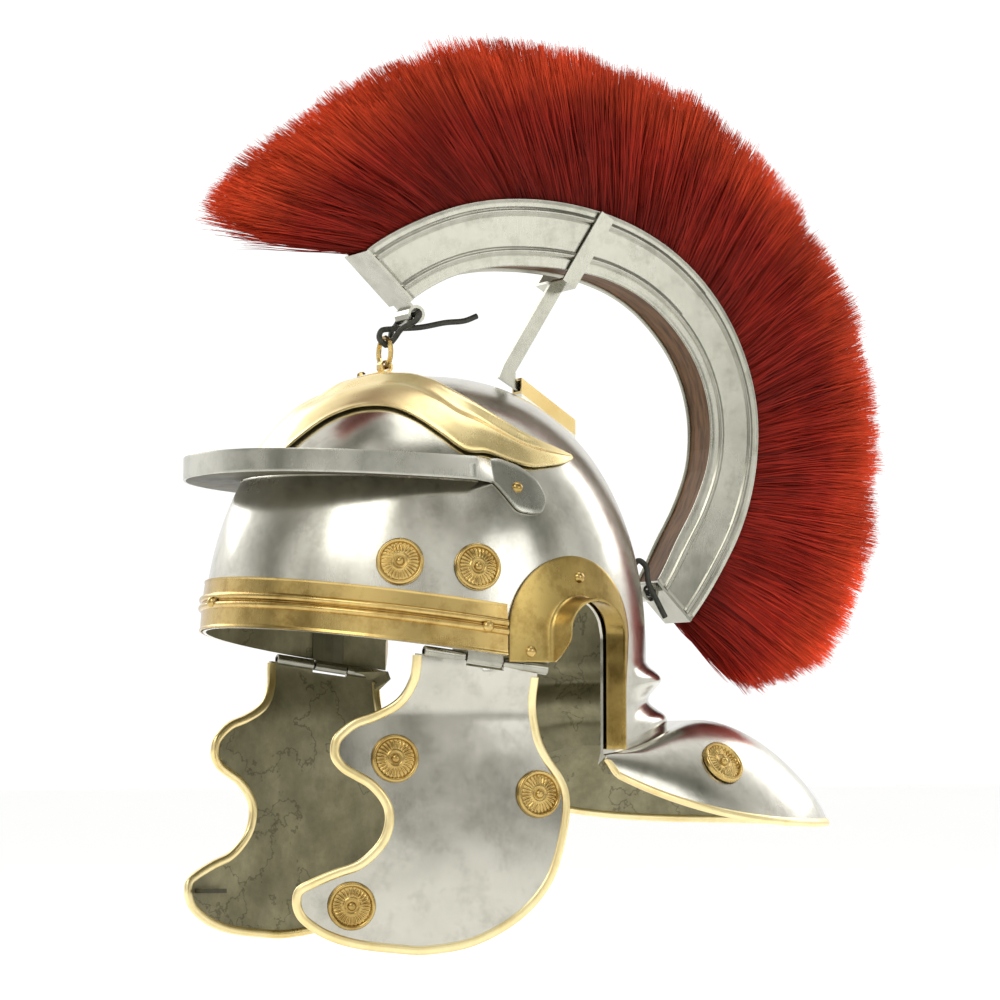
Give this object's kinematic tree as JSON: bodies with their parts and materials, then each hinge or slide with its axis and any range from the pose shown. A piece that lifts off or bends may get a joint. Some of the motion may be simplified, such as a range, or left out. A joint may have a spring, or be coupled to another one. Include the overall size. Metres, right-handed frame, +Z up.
{
  "type": "roman legionary helmet",
  "caption": "Iron infantry helmet with brass trim, flared neck guard, fixed peak, swinging cheek pieces and a fore-and-aft horsehair crest on a forked stand.",
  "frame": {"origin": "middle of the head opening, level with the brow rim", "axes": "+Z up, the helmet faces -Y, +X is the wearer's left"},
  "size_m": [0.2248, 0.3958, 0.4698],
  "materials": {
    "steel": "polished",
    "brass": "polished",
    "wood": "oiled",
    "hair": "dyed horsehair",
    "cord": "thong"
  },
  "bodies": {
    "helmet": {"bowl": "steel", "bowl_rosette_left_1": "brass", "bowl_rosette_left_2": "brass", "bowl_rosette_right_1": "brass", "bowl_rosette_right_2": "brass", "brow_band": "brass", "brow_band_rivet_front": "brass", "brow_band_rivet_left": "brass", "brow_band_rivet_right": "brass", "crest_core": "wood", "crest_fork": "steel", "crest_front_cap": "steel", "crest_hair": "hair", "crest_rear_cap": "steel", "crest_side_left": "steel", "crest_side_right": "steel", "crest_socket": "brass", "ear_guard_left": "brass", "ear_guard_right": "brass", "ear_guard_rivet_left_1": "brass", "ear_guard_rivet_left_2": "brass", "ear_guard_rivet_right_1": "brass", "ear_guard_rivet_right_2": "brass", "eyebrow_plate": "brass", "front_hook": "brass", "front_hook_rivet": "brass", "front_ring": "brass", "front_tie": "cord", "hinge_leaf_left": "steel", "hinge_leaf_right": "steel", "hinge_pin_left": "steel", "hinge_pin_right": "steel", "neck_guard_edging": "brass", "neck_rosette_left": "brass", "neck_rosette_right": "brass", "peak": "steel", "peak_rivet_left": "brass", "peak_rivet_right": "brass", "rear_staple": "brass", "rear_tie": "cord"},
    "cheek_left": {"cheek_edging_left": "brass", "cheek_plate_left": "steel", "cheek_rosette_left_1": "brass", "cheek_rosette_left_2": "brass", "cheek_rosette_left_3": "brass", "cheek_tie_loop_left": "brass"},
    "cheek_right": {"cheek_edging_right": "brass", "cheek_plate_right": "steel", "cheek_rosette_right_1": "brass", "cheek_rosette_right_2": "brass", "cheek_rosette_right_3": "brass", "cheek_tie_loop_right": "brass"}
  },
  "joints": [
    {"name": "cheek_left_swing", "type": "hinge", "parent": "helmet", "child": "cheek_left", "pos_m": [0.09605, -0.01525, -0.0012], "axis": [-0.0629, -0.9896, 0.1296], "range_deg": [-12, 65]},
    {"name": "cheek_right_swing", "type": "hinge", "parent": "helmet", "child": "cheek_right", "pos_m": [-0.09605, -0.01525, -0.0012], "axis": [-0.0629, 0.9896, -0.1296], "range_deg": [-12, 65]}
  ]
}
